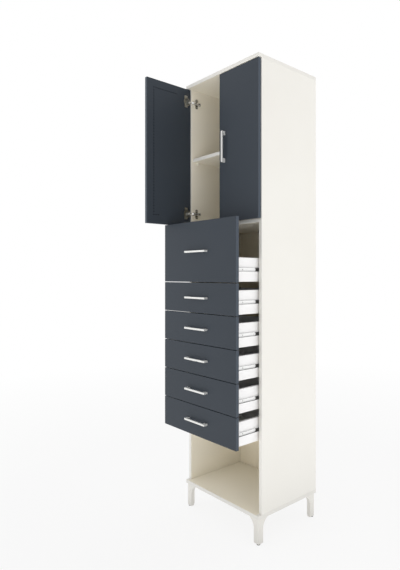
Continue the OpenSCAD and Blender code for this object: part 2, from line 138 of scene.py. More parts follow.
class Sketch:
    """Adds nodes to a tree and joins them, so that a tree reads as a list of steps."""

    def __init__(self, tree: NodeTree) -> None:
        """Takes the shader or geometry tree to fill."""
        self.tree = tree

    def add(self, kind: str, inputs: dict[Any, Any] | None = None, **settings: Any) -> Node:
        """Adds one node.

        Args:
            kind: Blender's name of the node type.
            inputs: Socket name or number to a value, or to an output socket to join.
            **settings: Properties of the node.

        Returns:
            The new node.
        """
        node = self.tree.nodes.new(kind)
        for name, value in settings.items():
            setattr(node, name, value)
        for name, value in (inputs or {}).items():
            self.feed(node.inputs[name], value)
        return node

    def feed(self, socket: NodeSocket, value: Any) -> None:
        """Joins an output socket to an input, or sets the input's own value.

        Args:
            socket: The input.
            value: An output socket, or a plain value.
        """
        if isinstance(value, NodeSocket):
            self.tree.links.new(value, socket)
        else:
            socket.default_value = value

    def math(self, operation: str, *values: Any, clamp: bool = False) -> NodeSocket:
        """Adds a Math node and returns its result."""
        node = self.add("ShaderNodeMath", dict(enumerate(values)), operation=operation, use_clamp=clamp)
        return node.outputs[0]

    def vector(self, operation: str, *values: Any, output: str = "Vector") -> NodeSocket:
        """Adds a Vector Math node and returns one of its results."""
        node = self.add("ShaderNodeVectorMath", dict(enumerate(values)), operation=operation)
        return node.outputs[output]

    def apart(self, first: Any, second: Any) -> NodeSocket:
        """How far apart two numbers are."""
        return self.math("ABSOLUTE", self.math("SUBTRACT", first, second))

    def remap(self, value: Any, span: Span, to: Span = UNIT) -> NodeSocket:
        """Adds a clamped Map Range node from one span to another and returns its result."""
        ends = {"From Min": span[0], "From Max": span[1], "To Min": to[0], "To Max": to[1]}
        return self.add("ShaderNodeMapRange", {"Value": value, **ends}).outputs["Result"]

    def noise(self, place: Any, scale: Any, detail: float, roughness: float = 0.5) -> NodeSocket:
        """Adds a Noise Texture and returns its value."""
        inputs = {"Vector": place, "Scale": scale, "Detail": detail, "Roughness": roughness}
        return self.add("ShaderNodeTexNoise", inputs).outputs["Fac"]

    def split(self, vector: Any) -> Any:
        """The X, Y and Z of a vector."""
        return self.add("ShaderNodeSeparateXYZ", {"Vector": vector}).outputs

    def joined(self, **parts: Any) -> NodeSocket:
        """A vector of the given X, Y and Z."""
        return self.add("ShaderNodeCombineXYZ", parts).outputs["Vector"]

    def least(self, vector: Any) -> NodeSocket:
        """The smallest of a vector's X, Y and Z."""
        parts = self.split(vector)
        return self.math("MINIMUM", self.math("MINIMUM", parts["X"], parts["Y"]), parts["Z"])

    def mix(self, share: Any, first: Any, second: Any) -> NodeSocket:
        """Mixes two colours, each a socket or plain, with the given share of the second."""
        first, second = (rgba(value) if isinstance(value, tuple) else value for value in (first, second))
        return self.add("ShaderNodeMix", {0: share, 6: first, 7: second}, data_type="RGBA").outputs[2]

    def moved(self, geometry: Any, **change: Any) -> NodeSocket:
        """A geometry with a Translation or a Scale."""
        return self.add("GeometryNodeTransform", {"Geometry": geometry, **change}).outputs["Geometry"]


class Effect(Sketch):
    """A shader node group with named sockets, which always takes the place on the piece."""

    SOCKETS = {1: "NodeSocketFloat", 3: "NodeSocketVector", 4: "NodeSocketColor"}

    def __init__(self, name: str, outputs: dict[str, Any], inputs: dict[str, Any]) -> None:
        """Starts the group.

        Args:
            name: The group's name.
            outputs: Socket name to its default: a number, three for a vector or four for a colour.
            inputs: The same for what it takes beside the place.
        """
        super().__init__(bpy.data.node_groups.new(name, "ShaderNodeTree"))
        for side, sockets in (("INPUT", {"Position": ORIGIN, **inputs}), ("OUTPUT", outputs)):
            for label, default in sockets.items():
                kind = self.SOCKETS[len(default) if isinstance(default, tuple) else 1]
                self.tree.interface.new_socket(label, in_out=side, socket_type=kind).default_value = default
        self.given = self.add("NodeGroupInput").outputs
        self.place = self.given["Position"]

    def depth(self) -> NodeSocket:
        """How deep the place lies between the inputs Low Corner and High Corner, along each axis."""
        low, high = self.given["Low Corner"], self.given["High Corner"]
        ends = self.vector("SUBTRACT", self.place, low), self.vector("SUBTRACT", high, self.place)
        return self.vector("MINIMUM", *ends)

    def ended(self, **results: Any) -> NodeTree:
        """Feeds the group's outputs and returns its tree."""
        self.add("NodeGroupOutput", results)
        return self.tree


class Effects:
    """Shader node groups that more than one material uses."""

    RELIEF = {"Height": 0.0, "Mask": 0.0}
    BOX = {"Low Corner": ORIGIN, "High Corner": (1.0, 1.0, 1.0)}
    PEARL_CONTRAST = (0.35, 0.65)
    LINE_CONTRAST = (0.3, 0.7)
    NARROW_FADE = (0.6, 0.8)
    SEAM_FADE = (0.08 * MM, 0.2 * MM)
    PAINTED_INSIDE_FADE = (0.0, 0.3 * MM)
    RIM_FADE = (0.1 * MM, 0.3 * MM)
    MOSTLY = 0.5

    def __init__(self) -> None:
        """Builds each group once."""
        self.pearl = self.build_pearl()
        self.edge_band = self.build_edge_band()
        self.inside = self.build_inside()
        self.channel = self.build_channel()
        self.brushed = self.build_brushed()
        self.drift = self.build_drift()

    def build_pearl(self) -> NodeTree:
        """Builds the fine pearl embossing of a melamine or foil face.

        Returns:
            The group, which gives a height and a gloss mask.
        """
        cell_scale, noise_share = 0.6, 0.6
        effect = Effect("pearl_emboss", self.RELIEF, {"Pearls per metre": 900.0})
        pearls = effect.given["Pearls per metre"]
        fine = effect.noise(effect.place, pearls, 2.0, 0.55)
        coarse = effect.math("MULTIPLY", pearls, cell_scale)
        inputs = {"Vector": effect.place, "Scale": coarse, "Smoothness": 0.6}
        cells = effect.add("ShaderNodeTexVoronoi", inputs, feature="SMOOTH_F1")
        height = effect.math("ADD", effect.math("MULTIPLY", fine, noise_share), cells.outputs["Distance"])
        return effect.ended(Height=height, Mask=effect.remap(fine, self.PEARL_CONTRAST))

    def build_edge_band(self) -> NodeTree:
        """Builds the glued band round a board, whose mask also carries the fronts' painted edge highlight.

        Returns:
            The group, which gives a mask of the narrow edges and one of the fine line where the band ends.
        """
        inputs = {"Facing": ORIGIN, **self.BOX, "Thin Axis": Axis.Y.value, "Band": 1.0 * MM}
        effect = Effect("edge_band", {"Band": 0.0, "Seam": 0.0}, inputs)
        thin = effect.given["Thin Axis"]
        across = effect.vector("DOT_PRODUCT", effect.given["Facing"], thin, output="Value")
        narrow = effect.remap(effect.math("ABSOLUTE", across), self.NARROW_FADE, FALLING)
        nearest = effect.least(effect.vector("ADD", effect.depth(), thin))
        line = effect.remap(effect.apart(nearest, effect.given["Band"]), self.SEAM_FADE, FALLING)
        wide = effect.math("SUBTRACT", 1.0, narrow)
        return effect.ended(Band=narrow, Seam=effect.math("MULTIPLY", line, wide))

    def build_inside(self) -> NodeTree:
        """Builds a mask of what lies inside a box, where a finish paints its inside light and shade."""
        effect = Effect("inside_faces", {"Mask": 0.0}, self.BOX)
        return effect.ended(Mask=effect.remap(effect.least(effect.depth()), self.PAINTED_INSIDE_FADE))

    def build_channel(self) -> NodeTree:
        """Builds where painted shade goes on a rolled channel.

        Returns:
            The group, which gives a mask of the lips' rims and one of the lower lip's upward face, both for
            painted shade.
        """
        sizes = {"Web": 0.0, "Rim": 1.0, "Steel": RUNNER_STEEL, "Middle": 0.0}
        effect = Effect("channel_lip_shade", {"Rim": 0.0, "Track": 0.0}, {"Facing": ORIGIN, **sizes})
        place, facing = effect.split(effect.place), effect.split(effect.given["Facing"])
        out = effect.math("ABSOLUTE", place["X"])
        sideways = effect.math("GREATER_THAN", effect.math("ABSOLUTE", facing["X"]), self.MOSTLY)
        cut = effect.remap(effect.apart(out, effect.given["Rim"]), self.RIM_FADE, FALLING)
        lip = effect.math("GREATER_THAN", effect.apart(out, effect.given["Web"]), effect.given["Steel"])
        upward = effect.math("GREATER_THAN", facing["Z"], self.MOSTLY)
        below = effect.math("LESS_THAN", place["Z"], effect.given["Middle"])
        track = effect.math("MULTIPLY", lip, effect.math("MULTIPLY", upward, below))
        return effect.ended(Rim=effect.math("MULTIPLY", sideways, cut), Track=track)

    def build_brushed(self) -> NodeTree:
        """Builds fine scratches drawn along one axis of a face.

        Returns:
            The group, which gives a height and a gloss mask.
        """
        effect = Effect("brushed_lines", self.RELIEF, {"Stretch": (1.0, 1.0, 1.0), "Lines per metre": 2500.0})
        stretched = effect.vector("MULTIPLY", effect.place, effect.given["Stretch"])
        lines = effect.noise(stretched, effect.given["Lines per metre"], 3.0, 0.6)
        return effect.ended(Height=lines, Mask=effect.remap(lines, self.LINE_CONTRAST))

    def build_drift(self) -> NodeTree:
        """Builds a slow drift of tone over a face, as print and foil have from batch to batch.

        Returns:
            The group, which gives the colour.
        """
        effect = Effect("tone_drift", {"Colour": WHITE}, {"Scale": 3.0, "Base": WHITE, "Other": WHITE})
        share = effect.remap(effect.noise(effect.place, effect.given["Scale"], 3.0), self.LINE_CONTRAST)
        return effect.ended(Colour=effect.mix(share, effect.given["Base"], effect.given["Other"]))


class Skin(Sketch):
    """A new material with one Principled shader that reads Object coordinates."""

    def __init__(self, name: str, **values: Any) -> None:
        """Starts the material.

        Args:
            name: The material's name.
            **values: Plain values of the shader, with underscores for spaces.
        """
        self.material = bpy.data.materials.new(name)
        self.material.use_nodes = True
        super().__init__(self.material.node_tree)
        self.shader = self.tree.nodes["Principled BSDF"]
        self.dress(**values)
        coordinates = self.add("ShaderNodeTexCoord").outputs
        self.place, self.facing = coordinates["Object"], coordinates["Normal"]

    def dress(self, **values: Any) -> None:
        """Feeds the shader's inputs, whose names have underscores for spaces."""
        for name, value in values.items():
            self.feed(self.shader.inputs[name.replace("_", " ")], value)

    def group(self, tree: NodeTree, **inputs: Any) -> Any:
        """Places a node group, feeds its inputs, with underscores for spaces, and returns its outputs."""
        values = {name.replace("_", " "): value for name, value in inputs.items()}
        return self.add("ShaderNodeGroup", {"Position": self.place, **values}, node_tree=tree).outputs


@dataclass(frozen=True)
class Finish:
    """What every finish shares: its colour with a slow drift, its gloss and its fine relief."""

    name: str
    colour: Triple
    roughness: float
    effects: Effects
    metallic: float = 0.0
    specular: float = 0.5
    # inner: a tone painted inside a box, lighter as painted bounce light on the cream boards and back panel,
    # darker as painted shade in the hinge cups
    inner: Triple | None = None
    drift: float = 0.97
    warmth: float = 0.004
    cloud: float = 3.0
    grain: float = 900.0
    gloss: Span = (0.04, 0.05)
    relief: float = 0.03 * MM

    def skin(self, suffix: str = "") -> Skin:
        """Starts a material with the finish's plain values, under its name and the suffix."""
        values = {"Roughness": self.roughness, "Metallic": self.metallic, "Specular_IOR_Level": self.specular}
        return Skin(f"{self.name}{suffix}", **values)

    def drifting(self, skin: Skin) -> NodeSocket:
        """The finish's colour, which drifts a little over a face."""
        other = rgba(shifted(self.colour, self.drift, self.warmth))
        return skin.group(self.effects.drift, Scale=self.cloud, Base=rgba(self.colour), Other=other)["Colour"]

    def with_painted_inside(self, skin: Skin, tone: NodeSocket, inside: Board | None) -> NodeSocket:
        """Gives a tone the inner colour inside a box, which paints the light and shade that fall there.

        Args:
            skin: The material's skin.
            tone: The tone outside the box.
            inside: The box, or None.

        Returns:
            The tone's socket.
        """
        if not (inside and self.inner):
            return tone
        # painted light and shade inside the box
        painted_inside = skin.group(self.effects.inside, Low_Corner=inside.low, High_Corner=inside.high)
        return skin.mix(painted_inside["Mask"], tone, self.inner)

    def pearly(self, skin: Skin, tone: NodeSocket) -> Material:
        """Ends a material with the pearl embossing."""
        return self.ended(skin, tone, skin.group(self.effects.pearl, Pearls_per_metre=self.grain))

    def ended(self, skin: Skin, tone: NodeSocket, grain: Any) -> Material:
        """Ends a material: its colour, its gloss and its relief.

        Args:
            skin: The material's skin.
            tone: The colour's socket.
            grain: The outputs of the group that gives the height and the gloss mask.

        Returns:
            The material.
        """
        smoother, rougher = self.gloss
        gloss = skin.remap(grain["Mask"], UNIT, (self.roughness - smoother, self.roughness + rougher))
        relief = skin.add("ShaderNodeBump", {"Height": grain["Height"], "Distance": self.relief})
        skin.dress(Base_Color=tone, Roughness=gloss, Normal=relief.outputs["Normal"])
        return skin.material


@dataclass(frozen=True)
class BoardFinish(Finish):
    """A board faced with embossed melamine or foil, with a glued band on its edges, which on the anthracite
    fronts is lighter as a painted highlight.
    """

    band: float = 1.0 * MM
    # the band's own tone; above 1 it is a painted highlight on the edges
    band_tone: float = 0.93
    seam_tone: float = 0.86

    def material(self, board: Board | None = None, inside: Board | None = None) -> Material:
        """Makes the material.

        Args:
            board: The board whose edges are banded, or None for a piece without a band.
            inside: The space whose faces take the inner colour, painted bounce light, or None.

        Returns:
            The new material.
        """
        skin = self.skin()
        tone = self.with_painted_inside(skin, self.drifting(skin), inside)
        if board:
            edge = skin.group(
                self.effects.edge_band, Facing=skin.facing, Low_Corner=board.low, High_Corner=board.high,
                Thin_Axis=board.thin.value, Band=self.band,
            )
            # On the anthracite fronts the band is lighter than the face: a painted highlight.
            tone = skin.mix(edge["Band"], tone, shifted(self.colour, self.band_tone))
            tone = skin.mix(edge["Seam"], tone, shifted(self.colour, self.seam_tone))
        return self.pearly(skin, tone)


@dataclass(frozen=True)
class MetalFinish(Finish):
    """A metal whose surface was brushed or rolled along one axis."""

    metallic: float = 1.0
    drift: float = 0.93
    warmth: float = 0.01
    cloud: float = 60.0
    grain: float = 2500.0
    gloss: Span = (0.05, 0.07)
    relief: float = 0.02 * MM
    line_tone: float = 0.97
    line_stretch: float = 0.02

    def material(self, along: Axis, inside: Board | None = None) -> Material:
        """Makes the material.

        Args:
            along: The axis that the fine lines run along.
            inside: The board inside which the metal takes the inner colour as painted shade, or None.

        Returns:
            The new material.
        """
        skin = self.skin(f"_{along.name}")
        stretch = tuple(self.line_stretch if part else 1.0 for part in along.value)
        lines = skin.group(self.effects.brushed, Stretch=stretch, Lines_per_metre=self.grain)
        tone = skin.mix(lines["Mask"], self.drifting(skin), shifted(self.colour, self.line_tone))
        return self.ended(skin, self.with_painted_inside(skin, tone, inside), lines)


@dataclass(frozen=True)
class ChannelFinish(Finish):
    """A rolled steel channel with a smooth white coat, with painted shade along its lips' rims and on the
    lower lip's upward face.
    """

    grain: float = 420.0
    gloss: Span = (0.04, 0.04)
    relief: float = 0.02 * MM
    # grey painted shade along the lips' rims, near-black painted shade on the lower lip's upward face
    rim: Triple = (0.36, 0.36, 0.36)
    track: Triple = (0.012, 0.012, 0.012)

    def material(self, web: float, rim: float, middle: float) -> Material:
        """Makes the material.

        Args:
            web: Distance of the web's seat from the cabinet's middle.
            rim: Distance of the lips' rims from the cabinet's middle.
            middle: Height of the channel's middle.

        Returns:
            The new material.
        """
        skin = self.skin()
        lip_shade = skin.group(self.effects.channel, Facing=skin.facing, Web=web, Rim=rim, Middle=middle)
        # Painted shade: grey on the rims, near black on the lower lip.
        rim_shaded = skin.mix(lip_shade["Rim"], self.colour, self.rim)
        return self.pearly(skin, skin.mix(lip_shade["Track"], rim_shaded, self.track))


@dataclass(frozen=True)
class PlasticFinish(Finish):
    """A moulded plastic with a fine spark-eroded grain."""

    drift: float = 0.92
    warmth: float = 0.0
    cloud: float = 80.0
    grain: float = 3000.0
    gloss: Span = (0.05, 0.08)

    def material(self) -> Material:
        """Makes the material."""
        skin = self.skin()
        return self.pearly(skin, self.drifting(skin))


@dataclass(frozen=True)
class TimberFinish(Finish):
    """Plain beech with its fine rays and long pores."""

    relief: float = 0.1 * MM
    pore_stretch: Triple = (1.0, 1.0, 0.05)
    pore_tone: float = 0.72
    pore_warmth: float = 0.03

    def material(self) -> Material:
        """Makes the material.

        Returns:
            The new material.
        """
        skin = self.skin()
        pores = skin.group(self.effects.brushed, Stretch=self.pore_stretch, Lines_per_metre=self.grain)
        dark = shifted(self.colour, self.pore_tone, self.pore_warmth)
        relief = skin.add("ShaderNodeBump", {"Height": pores["Height"], "Distance": self.relief})
        skin.dress(Base_Color=skin.mix(pores["Mask"], self.colour, dark), Normal=relief.outputs["Normal"])
        return skin.material


class Finishes:
    """Every finish of the cabinet."""

    def __init__(self) -> None:
        """Makes the effects and the finishes."""
        made = Effects()
        # The cream boards and the back panel are lighter and warmer inside the cabinet: painted bounce light.
        self.cream = BoardFinish(
            "cream_melamine", (0.845, 0.828, 0.78), 0.45, made, specular=0.35, inner=(0.91, 0.86, 0.74)
        )
        self.back = BoardFinish(
            "fibreboard_lit_inside", (0.76, 0.735, 0.67), 0.55, made, specular=0.3, inner=(0.92, 0.85, 0.70),
            grain=600.0,
        )
        # The fronts' band tone of 1.6 paints a highlight along their edges.
        self.anthracite = BoardFinish(
            "anthracite_melamine", (0.0402, 0.0496, 0.0628), 0.45, made, specular=0.2, drift=0.94,
            grain=1100.0, band_tone=1.6, seam_tone=0.8,
        )
        self.white = BoardFinish("white_foil", (0.925, 0.92, 0.92), 0.42, made, specular=0.35, drift=0.985)
        self.coat = ChannelFinish("white_coat", (0.93, 0.93, 0.925), 0.34, made)
        self.handle = MetalFinish("satin_nickel", (0.86, 0.86, 0.84), 0.36, made, metallic=0.4)
        self.nickel = MetalFinish("hinge_nickel", (0.22, 0.205, 0.16), 0.26, made, grain=1500.0)
        # The hinge cups are darker inside the door panel: painted shade in their hollow.
        self.cup = MetalFinish(
            "cup_nickel", (0.46, 0.46, 0.44), 0.3, made, inner=(0.34, 0.34, 0.32), grain=1500.0
        )
        self.bright = MetalFinish("bright_nickel", (0.82, 0.82, 0.8), 0.24, made, metallic=0.65, grain=1500.0)
        # Near-black steel for the hinge arm screws: painted shade of the hinge's dark hole.
        self.shade_dark = MetalFinish("shade_dark_steel", (0.06, 0.055, 0.045), 0.35, made)
        self.zinc = MetalFinish("rolled_zinc", (0.60, 0.60, 0.58), 0.34, made, metallic=0.9, grain=1200.0)
        self.cream_plastic = PlasticFinish("cream_plastic", (0.92, 0.89, 0.80), 0.4, made)
        self.grey_plastic = PlasticFinish("grey_plastic", (0.22, 0.22, 0.21), 0.5, made)
        # Black plastic for the runner stops, whose dark ends also paint the shade where the channels run into
        # the cabinet.
        self.black_plastic_and_shade = PlasticFinish("black_plastic_and_shade", (0.045, 0.043, 0.04), 0.5, made, specular=0.3)
        # Near black for the left door's dots: the painted shade line of a fine groove.
        self.groove_shade = PlasticFinish("groove_shade_black", (0.003, 0.003, 0.003), 0.6, made, specular=0.0)
        self.beech = TimberFinish("beech", (0.62, 0.43, 0.24), 0.65, made)


def paint(node: str, material: Material) -> None:
    """Gives a CAD node one material.

    Args:
        node: The node's name.
        material: The material of all its faces.
    """
    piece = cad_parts[node]
    if not piece.material_slots:
        piece.data.materials.append(material)
    for slot in piece.material_slots:
        slot.material = material
    LOG.info("%s: painted with %s", node, material.name)


def link(name: str, data: Any) -> Object:
    """Makes an object from its data and adds it to the scene.

    Args:
        name: The object's name.
        data: Its mesh, camera or light.

    Returns:
        The new object.
    """
    item = bpy.data.objects.new(name, data)
    bpy.context.scene.collection.objects.link(item)
    return item


def mesh_of(shape: bmesh.types.BMesh, name: str) -> Mesh:
    """Turns a worked shape into a mesh and frees the shape.

    Args:
        shape: The shape.
        name: The mesh's name.

    Returns:
        The new mesh.
    """
    mesh = bpy.data.meshes.new(name)
    shape.to_mesh(mesh)
    shape.free()
    return mesh


def finished(mesh: Mesh, name: str, body: str, material: Material) -> Object:
    """Links a finished mesh as a piece that rides on a body.

    Args:
        mesh: The mesh, with its place in its vertices.
        name: The piece's name.
        body: The body that it rides on.
        material: Its material, unless the mesh has its own.

    Returns:
        The new piece.
    """
    if not mesh.materials:
        mesh.materials.append(material)
    piece = link(name, mesh)
    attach(piece, body)
    LOG.info("%s: %d faces on %s", name, len(mesh.polygons), body)
    return piece


def eased_copy(
    node: str, body: str, material: Material, radius: float,
    least: float = 0.0, clear_of: Board | None = None,
) -> None:
    """Makes a piece from a CAD node with its sharp edges slightly rounded, and puts it in the node's place.

    Args:
        node: The CAD node to copy, whose name begins the piece's name.
        body: The body that it rides on.
        material: Its material.
        radius: How far the rounding reaches from an edge.
        least: Length under which an edge stays sharp, which leaves out the rims of drilled holes.
        clear_of: A board in and on which edges stay sharp, or None.
    """
    merge_reach = 0.002 * MM
    contact = 0.01 * MM
    flat = math.radians(1.0)
    sharp = math.radians(50.0)

    def eases(edge: bmesh.types.BMEdge) -> bool:
        """Says whether an edge is rounded."""
        if not edge.is_manifold or not edge.is_convex or edge.calc_face_angle(0.0) < sharp:
            return False
        if edge.calc_length() < least:
            return False
        return not (clear_of and any(within(vertex.co, clear_of, contact) for vertex in edge.verts))

    shape = bmesh.new()
    shape.from_mesh(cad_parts[node].data)
    bmesh.ops.remove_doubles(shape, verts=shape.verts, dist=merge_reach)
    bmesh.ops.dissolve_limit(shape, angle_limit=flat, verts=shape.verts, edges=shape.edges)
    bmesh.ops.bevel(
        shape, geom=[edge for edge in shape.edges if eases(edge)], offset=radius, offset_type="OFFSET",
        segments=2, profile=0.5, affect="EDGES", clamp_overlap=False,
    )
    name = f"{node}_eased"
    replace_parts(finished(shade(mesh_of(shape, name)), name, body, material), node)


def within(point: Vector, board: Board, margin: float) -> bool:
    """Says whether a point lies in a board's box or less than margin from it."""
    return all(low - margin < part < high + margin for part, low, high in zip(point, board.low, board.high))


def shade(mesh: Mesh, crease: float = 50.0) -> Mesh:
    """Shades a mesh smooth where its faces turn little, and lets the largest face at a corner set the normal.

    Args:
        mesh: The mesh to shade.
        crease: Angle in degrees past which an edge stays sharp.

    Returns:
        A mesh with the same shape and name, whose flat faces stay flat beside rounded edges.
    """
    mesh.shade_smooth()
    mesh.set_sharp_from_angle(angle=math.radians(crease))
    carrier = link("normals_carrier", mesh)
    carrier.modifiers.new("weights", "WEIGHTED_NORMAL").keep_sharp = True
    return plain_mesh(carrier, mesh.name)


def plain_mesh(carrier: Object, name: str) -> Mesh:
    """Turns an object with its modifiers into a plain mesh, and removes the object.

    Args:
        carrier: The object.
        name: The new mesh's name.

    Returns:
        The new mesh.
    """
    graph = bpy.context.evaluated_depsgraph_get()
    mesh = bpy.data.meshes.new_from_object(carrier.evaluated_get(graph), depsgraph=graph)
    source = carrier.data
    carrier.modifiers.clear()
    bpy.data.objects.remove(carrier)
    bpy.data.meshes.remove(source)
    mesh.name = name
    return mesh


def spot(x: float, y: float, z: float, out: float) -> Spot:
    """A place with a direction along X."""
    return Vector((x, y, z)), Vector((out, 0.0, 0.0))


@dataclass
class Repeat:
    """A Geometry Nodes tree that sets one small shape at every point of a mesh and turns it by its facing."""

    name: str
    sizes: dict[str, float]
    outline: Callable[[Sketch, Any], NodeSocket]
    tree: NodeTree = field(init=False)

    def __post_init__(self) -> None:
        """Builds the tree with one named input for each size."""
        self.tree = bpy.data.node_groups.new(self.name, "GeometryNodeTree")
        face = self.tree.interface
        face.new_socket("Geometry", in_out="INPUT", socket_type="NodeSocketGeometry")
        for label, size in self.sizes.items():
            face.new_socket(label, in_out="INPUT", socket_type="NodeSocketFloat").default_value = size
        face.new_socket("Finish", in_out="INPUT", socket_type="NodeSocketMaterial")
        face.new_socket("Geometry", in_out="OUTPUT", socket_type="NodeSocketGeometry")
        sketch = Sketch(self.tree)
        given = sketch.add("NodeGroupInput").outputs
        facing = sketch.add("GeometryNodeInputNamedAttribute", {"Name": "facing"}, data_type="FLOAT_VECTOR")
        ways = {"Vector": facing.outputs["Attribute"]}
        turn = sketch.add("FunctionNodeAlignRotationToVector", ways, axis="Z").outputs["Rotation"]
        copies = {"Points": given["Geometry"], "Instance": self.outline(sketch, given), "Rotation": turn}
        placed = sketch.add("GeometryNodeInstanceOnPoints", copies).outputs["Instances"]
        real = sketch.add("GeometryNodeRealizeInstances", {"Geometry": placed}).outputs["Geometry"]
        dressed = sketch.add("GeometryNodeSetMaterial", {"Geometry": real, "Material": given["Finish"]})
        sketch.add("NodeGroupOutput", {"Geometry": dressed.outputs["Geometry"]})

    def place(
        self, name: str, spots: Sequence[Spot], body: str, slot: Slot, material: Material, **sizes: float
    ) -> None:
        """Sets the shape at each spot and makes one plain piece of them.

        Args:
            name: The piece's name.
            spots: Each place with the direction that the shape faces.
            body: The body that the piece rides on.
            slot: The record's material slot, not used.
            material: The material of all the copies.
            **sizes: Values for the tree's named inputs, with underscores for spaces.
        """
        seed = bpy.data.meshes.new(f"{name}_spots")
        seed.from_pydata([place for place, _ in spots], [], [])
        facing = seed.attributes.new("facing", "FLOAT_VECTOR", "POINT")
        facing.data.foreach_set("vector", [part for _, way in spots for part in way])
        carrier = link(f"{name}_carrier", seed)
        modifier = carrier.modifiers.new("repeat", "NODES")
        modifier.node_group = self.tree
        items = self.tree.interface.items_tree
        sockets = {item.name: item.identifier for item in items if item.in_out == "INPUT"}
        modifier[sockets["Finish"]] = material
        for label, size in sizes.items():
            modifier[sockets[label.replace("_", " ")]] = size
        finished(shade(plain_mesh(carrier, name)), name, body, material)


def screw_outline(sketch: Sketch, size: Any) -> NodeSocket:
    """A pan head with a cross recess, its seat on the plane Z = 0.

    Args:
        sketch: The tree to add to.
        size: The tree's named inputs.

    Returns:
        The shape's socket.
    """
    recess_share = 1.15
    radius, height, width = size["Head Radius"], size["Head Height"], size["Slot Width"]
    round_head = {"Vertices": 24, "Radius": radius, "Depth": height}
    head = sketch.add("GeometryNodeMeshCylinder", round_head, fill_type="NGON").outputs["Mesh"]
    seated = sketch.moved(head, Translation=sketch.joined(Z=sketch.math("MULTIPLY", height, 0.5)))
    length = sketch.math("MULTIPLY", radius, recess_share)
    top = sketch.joined(Z=height)
    cut = sketch.add("GeometryNodeMeshBoolean", {"Mesh 1": seated}, operation="DIFFERENCE")
    for x, y in ((length, width), (width, length)):
        bar = sketch.add("GeometryNodeMeshCube", {"Size": sketch.joined(X=x, Y=y, Z=height)}).outputs["Mesh"]
        sketch.feed(cut.inputs["Mesh 2"], sketch.moved(bar, Translation=top))
    return cut.outputs["Mesh"]


def dimple_outline(sketch: Sketch, size: Any) -> NodeSocket:
    """A low round dot, flat on its seat and domed on top.

    Args:
        sketch: The tree to add to.
        size: The tree's named inputs.

    Returns:
        The shape's socket.
    """
    round_ball = {"Segments": 16, "Rings": 8, "Radius": size["Dot Radius"]}
    ball = sketch.add("GeometryNodeMeshUVSphere", round_ball).outputs["Mesh"]
    flatness = sketch.math("DIVIDE", size["Dot Height"], size["Dot Radius"])
    return sketch.moved(ball, Scale=sketch.joined(X=1.0, Y=1.0, Z=flatness))


def ball_outline(sketch: Sketch, size: Any) -> NodeSocket:
    """A bearing ball."""
    ball = sketch.add("GeometryNodeMeshIcoSphere", {"Radius": size["Ball Radius"], "Subdivisions": 2})
    return ball.outputs["Mesh"]


class Shapes:
    """The small shapes that the cabinet repeats."""

    def __init__(self) -> None:
        """Builds each tree once."""
        screw = {"Head Radius": 3.5 * MM, "Head Height": 1.6 * MM, "Slot Width": 1.0 * MM}
        self.screw = Repeat("cross_screws", screw, screw_outline)
        self.dot = Repeat("round_dots", {"Dot Radius": 2.0 * MM, "Dot Height": 0.3 * MM}, dimple_outline)
        self.ball = Repeat("bearing_balls", {"Ball Radius": 1.5 * MM}, ball_outline)


@dataclass
class Carcass:
    """The fixed boards, the back panel, the loose shelf with its pins, the feet and the dowels."""

    finishes: Finishes
    shapes: Shapes
    edge_radius: float = 0.5 * MM
    # how far the inside box reaches into the boards' faces, which take the painted inside light
    painted_inside: float = 0.5 * MM
    body: str = "carcass"
    boards: tuple[str, ...] = (
        "left_side_panel", "right_side_panel", "top_board", "bottom_board", "fixed_shelf", "loose_shelf",
    )
    feet: tuple[str, ...] = ("front_left_foot", "front_right_foot", "rear_left_foot", "rear_right_foot")
    back_screw_radius: float = 3.2 * MM
    back_screw_height: float = 1.0 * MM
    back_screws: int = 4

    def inside(self) -> Board:
        """Works out the space inside the boards as far as the back panel's front, reaching a little into
        their faces, which take the painted inside light.

        Returns:
            The space.
        """
        left, right, lid, floor = (Board.of(node) for node in self.boards[:4])
        back = Board.of("back_panel")
        low = Vector((left.high.x - self.painted_inside, lid.low.y, floor.high.z - self.painted_inside))
        high = Vector((right.low.x + self.painted_inside, back.low.y + self.painted_inside, lid.low.z + self.painted_inside))
        return Board(low, high, Axis.Y)

    def back_screw_spots(self) -> list[Spot]:
        """Works out where the back panel is screwed to the fixed shelf, from behind.

        Returns:
            The screws' spots.
        """
        panel, height = Board.of("back_panel"), Board.of("fixed_shelf").middle.z
        span, count = panel.high.x - panel.low.x, self.back_screws
        places = [panel.low.x + span * (step + 0.5) / count for step in range(count)]
        return [(Vector((x, panel.high.y, height)), Axis.Y.way) for x in places]

    def build(self) -> None:
        """Builds and dresses every fixed board."""
        inside = self.inside()
        banded = [(node, self.finishes.cream.material(Board.of(node), inside)) for node in self.boards]
        lacquer = self.finishes.cream.material()
        for node, material in banded + [(foot, lacquer) for foot in self.feet]:
            eased_copy(node, self.body, material, self.edge_radius, least=SHORTEST_EASED)
        paint("back_panel", self.finishes.back.material(inside=inside))
        paint("shelf_pins", self.finishes.cream_plastic.material())
        paint("foot_glides", self.finishes.grey_plastic.material())
        paint("joint_dowels", self.finishes.beech.material())
        self.shapes.screw.place(
            "back_panel_screws", self.back_screw_spots(), self.body, Slot.RUNNER,
            self.finishes.zinc.material(Axis.X), Head_Radius=self.back_screw_radius,
            Head_Height=self.back_screw_height,
        )


@dataclass
class Front:
    """What a door and a drawer share: an anthracite board with a handle."""

    finishes: Finishes
    shapes: Shapes
    edge_radius: float = 0.4 * MM
    handle_radius: float = 0.9 * MM

    def build_board(self, body: str, node: str) -> Board:
        """Builds the anthracite board.

        Args:
            body: The body that it rides on.
            node: Its CAD node.

        Returns:
            Where the board lies.
        """
        board = Board.of(node)
        anthracite = self.finishes.anthracite.material(board)
        eased_copy(node, body, anthracite, self.edge_radius, least=SHORTEST_EASED)
        return board

    def build_handle(self, body: str, along: Axis, board: Board) -> None:
        """Builds the handle, which lies along an axis and whose ends in the board stay sharp."""
        satin = self.finishes.handle.material(along)
        eased_copy(f"{body}_handle", body, satin, self.handle_radius, clear_of=board)


